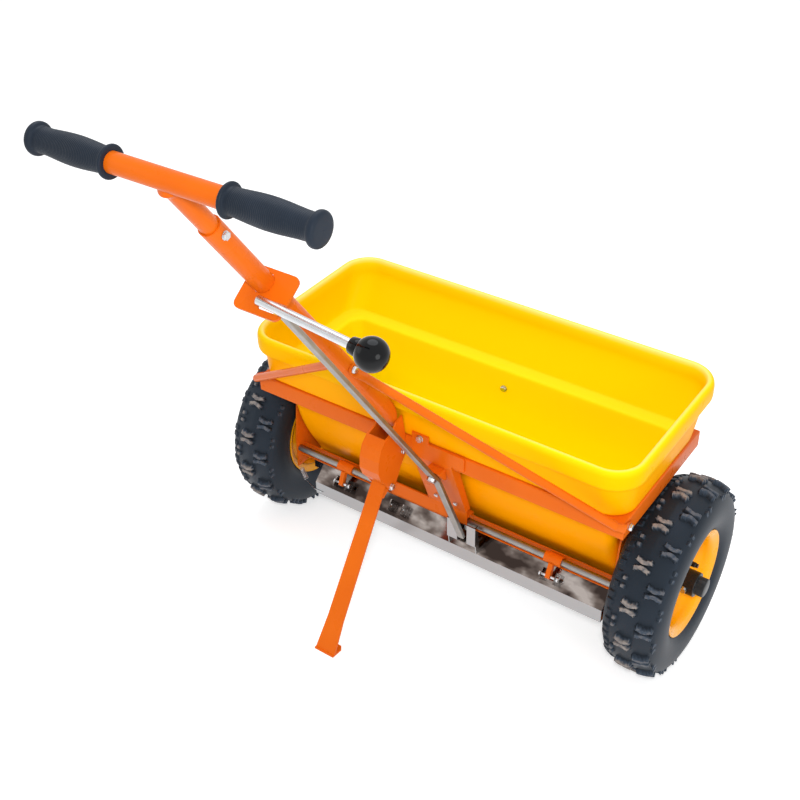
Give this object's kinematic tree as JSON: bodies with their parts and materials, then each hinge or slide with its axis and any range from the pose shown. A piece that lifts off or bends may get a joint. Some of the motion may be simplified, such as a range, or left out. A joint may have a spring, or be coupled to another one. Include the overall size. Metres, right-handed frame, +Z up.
{
  "type": "drop spreader",
  "caption": "Walk-behind drop spreader: long hopper over a sliding metering tray, lugged air tyres on a through axle, T-handle with grips, ball-knob metering lever and a swinging stand.",
  "frame": {"origin": "on the ground under the middle of the machine's bounding box", "axes": "+X to the operator's right along the axle, +Y forwards, the way it is pushed, +Z up from the ground"},
  "size_m": [0.852, 0.8133, 0.8878],
  "materials": {
    "hopper_yellow": "moulded yellow plastic, satin",
    "frame_orange": "orange powder coat",
    "rim_yellow": "yellow gloss paint",
    "tyre_black": "black rubber, dusty tread",
    "grip_black": "ribbed black rubber",
    "ball_black": "glossy black plastic",
    "hub_black": "black plastic",
    "stainless": "mirror-bright stainless sheet",
    "zinc": "bright zinc plate",
    "axle_steel": "plain turned steel",
    "bush_bronze": "sintered bronze"
  },
  "bodies": {
    "frame": {"hopper": "hopper_yellow", "ring_rail_rear": "frame_orange", "ring_rail_front": "frame_orange", "ring_rail_left": "frame_orange", "ring_rail_right": "frame_orange", "side_plate_left": "frame_orange", "side_plate_right": "frame_orange", "bottom_rail_rear": "frame_orange", "bottom_rail_front": "frame_orange", "hanger_rear_left": "frame_orange", "hanger_rear_right": "frame_orange", "hanger_front_left": "frame_orange", "hanger_front_right": "frame_orange", "handle_tube": "frame_orange", "t_bar": "frame_orange", "guide_plate": "frame_orange", "handle_bracket": "frame_orange", "brace_left": "frame_orange", "brace_right": "frame_orange", "pivot_bracket": "frame_orange", "grip_left": "grip_black", "grip_right": "grip_black", "trough": "stainless", "hopper_bolt": "zinc", "guide_rod_rear": "zinc", "guide_rod_front": "zinc", "stand_pivot_bolt": "zinc", "bracket_bolt": "zinc", "handle_bolt": "zinc", "brace_bolt": "zinc", "corner_bolt_left": "zinc", "corner_bolt_right": "zinc", "pivot_bracket_bolt": "zinc", "bracket_screw_left": "zinc", "bracket_screw_right": "zinc", "lever_pivot_bolt": "zinc", "axle_bush_left": "bush_bronze", "axle_bush_right": "bush_bronze"},
    "shutter": {"shutter_tray": "stainless", "clip_bolt_rear_left": "zinc", "clip_bolt_rear_right": "zinc", "clip_bolt_front_left": "zinc", "clip_bolt_front_right": "zinc", "lever_bracket": "stainless", "return_spring": "zinc"},
    "lever": {"lever_bar": "zinc", "cross_rod": "zinc", "ball_knob": "ball_black"},
    "stand": {"stand_leg": "frame_orange"},
    "drive_axle": {"axle": "axle_steel", "agitator": "axle_steel", "tyre_right": "tyre_black", "rim_right": "rim_yellow", "hub_right": "hub_black", "drive_pin": "zinc", "valve": "hub_black", "axle_clip": "zinc"},
    "wheel_left": {"tyre_left": "tyre_black", "rim_left": "rim_yellow", "hub_left": "hub_black"}
  },
  "joints": [
    {"name": "axle_spin", "type": "hinge", "parent": "frame", "child": "drive_axle", "pos_m": [0, 0.24174, 0.165], "axis": [1, 0, 0], "continuous": true},
    {"name": "left_wheel_spin", "type": "hinge", "parent": "drive_axle", "child": "wheel_left", "pos_m": [0, 0.24174, 0.165], "axis": [1, 0, 0], "continuous": true},
    {"name": "lever_swing", "type": "hinge", "parent": "frame", "child": "lever", "pos_m": [0.022, 0.07435, 0.2872], "axis": [0, 0.7385, 0.6743], "range_deg": [-2.5, 0]},
    {"name": "tray_slide", "type": "slide", "parent": "frame", "child": "shutter", "axis": [1, 0, 0], "range_m": [0, 0.0062]},
    {"name": "stand_swing", "type": "hinge", "parent": "frame", "child": "stand", "pos_m": [-0.056, 0.04962, 0.25671], "axis": [1, 0, 0], "range_deg": [0, 50]}
  ],
  "couplings": [
    {"joint": "tray_slide", "follows": "lever_swing", "m_per_rad": -0.1415}
  ]
}
